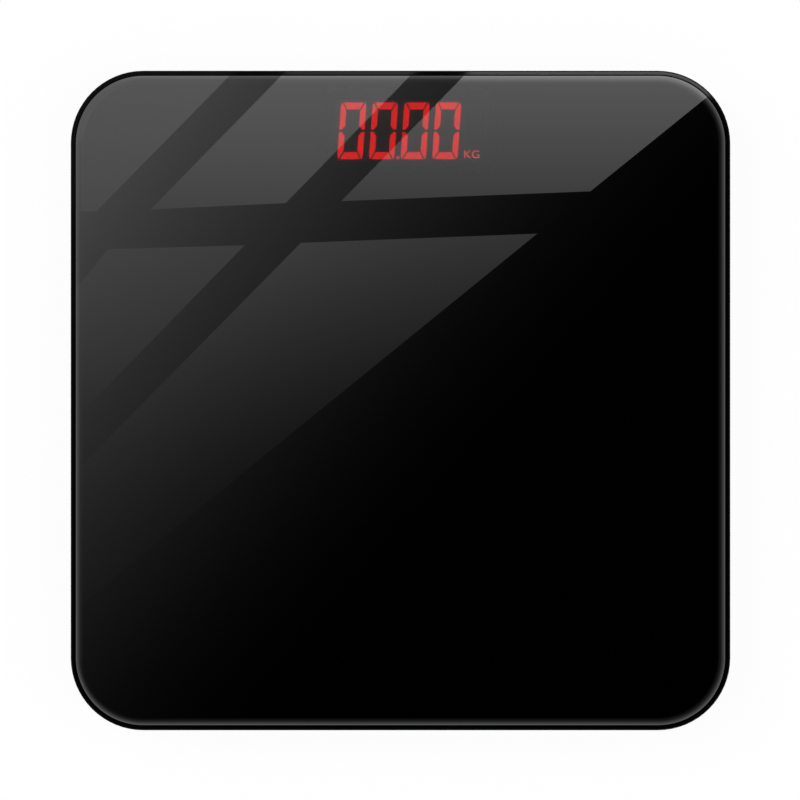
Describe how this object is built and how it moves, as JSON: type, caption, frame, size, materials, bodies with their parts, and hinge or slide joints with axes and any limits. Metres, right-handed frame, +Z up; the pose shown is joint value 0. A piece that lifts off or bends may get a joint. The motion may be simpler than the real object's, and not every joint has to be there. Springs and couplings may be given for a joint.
{
  "type": "digital bathroom scale",
  "caption": "Square bathroom scale with a black glass platform, rounded corners, a red digit display under the glass, load cell feet and a hinged battery door below.",
  "frame": {"origin": "on the floor, under the middle of the platform", "axes": "+Z up; +Y from the middle to the edge that holds the display; +X to the right of a person who stands on it and looks at the display"},
  "size_m": [0.26, 0.26, 0.0234],
  "materials": {
    "clear_glass": "polished tempered float glass",
    "black_print": "black printed film",
    "tinted_window": "dark tinted film",
    "foam_tape": "black double-sided foam",
    "tray_plastic": "black moulded ABS, fine texture below, gloss on the rim",
    "sealant": "white silicone over the gauge",
    "lead_sleeve": "soft insulation",
    "battery_sleeve": "plain printed sleeve on a steel can",
    "plated_contact": "nickel plated spring steel",
    "display_black": "matt black",
    "lit_red": "red cast resin, lit",
    "unlit_red": "red cast resin, not lit",
    "tinned_pin": "tinned",
    "board_green": "solder mask",
    "screw_steel": "zinc plated",
    "chip_black": "moulded epoxy",
    "chip_grey": "ceramic chip parts",
    "cell_steel": "stamped alloy steel, nickel plated",
    "foot_plastic": "black moulded",
    "pad_rubber": "matt rubber",
    "button_plastic": "dark grey moulded"
  },
  "bodies": {
    "platform": {"adhesive_tape": "foam_tape", "base_shell": "tray_plastic", "battery_front": "battery_sleeve", "battery_rear": "battery_sleeve", "board_screws": "screw_steel", "circuit_board": "board_green", "contact_bridge": "plated_contact", "contact_negative": "plated_contact", "contact_positive": "plated_contact", "converter_chip": "chip_black", "dark_segments": "unlit_red", "decimal_point": "lit_red", "display_gasket": "foam_tape", "display_housing": "display_black", "display_pins": "tinned_pin", "display_window": "tinted_window", "driver_chip": "chip_black", "glass_platform": "clear_glass", "lit_segments": "lit_red", "load_cell_front_left": "cell_steel", "load_cell_front_right": "cell_steel", "load_cell_rear_left": "cell_steel", "load_cell_rear_right": "cell_steel", "printed_film": "black_print", "sensor_lead_front_left": "lead_sleeve", "sensor_lead_front_right": "lead_sleeve", "sensor_lead_rear_left": "lead_sleeve", "sensor_lead_rear_right": "lead_sleeve", "small_parts": "chip_grey", "spring_bridge": "plated_contact", "spring_negative": "plated_contact", "strain_gauges": "sealant", "supply_leads": "lead_sleeve", "unit_lamp": "lit_red", "unit_switch": "chip_black"},
    "front_left_foot": {"foot_front_left": "foot_plastic", "foot_pad_front_left": "pad_rubber"},
    "front_right_foot": {"foot_front_right": "foot_plastic", "foot_pad_front_right": "pad_rubber"},
    "rear_left_foot": {"foot_rear_left": "foot_plastic", "foot_pad_rear_left": "pad_rubber"},
    "rear_right_foot": {"foot_rear_right": "foot_plastic", "foot_pad_rear_right": "pad_rubber"},
    "door": {"battery_door": "tray_plastic"},
    "button": {"unit_button": "button_plastic", "switch_plunger": "button_plastic"}
  },
  "joints": [
    {"name": "front_left_foot_press", "type": "slide", "parent": "platform", "child": "front_left_foot", "axis": [0, 0, 1], "range_m": [0, 0.0005], "stiffness_N_per_m": 900000, "deforming": ["load_cell_front_left"]},
    {"name": "front_right_foot_press", "type": "slide", "parent": "platform", "child": "front_right_foot", "axis": [0, 0, 1], "range_m": [0, 0.0005], "stiffness_N_per_m": 900000, "deforming": ["load_cell_front_right"]},
    {"name": "rear_left_foot_press", "type": "slide", "parent": "platform", "child": "rear_left_foot", "axis": [0, 0, 1], "range_m": [0, 0.0005], "stiffness_N_per_m": 900000, "deforming": ["load_cell_rear_left"]},
    {"name": "rear_right_foot_press", "type": "slide", "parent": "platform", "child": "rear_right_foot", "axis": [0, 0, 1], "range_m": [0, 0.0005], "stiffness_N_per_m": 900000, "deforming": ["load_cell_rear_right"]},
    {"name": "battery_door_hinge", "type": "hinge", "parent": "platform", "child": "door", "pos_m": [0, 0.0139, 0.0039], "axis": [-1, 0, 0], "range_deg": [0, 100]},
    {"name": "unit_button_press", "type": "slide", "parent": "platform", "child": "button", "axis": [0, 0, 1], "range_m": [0, 0.00035], "stiffness_N_per_m": 4500}
  ]
}
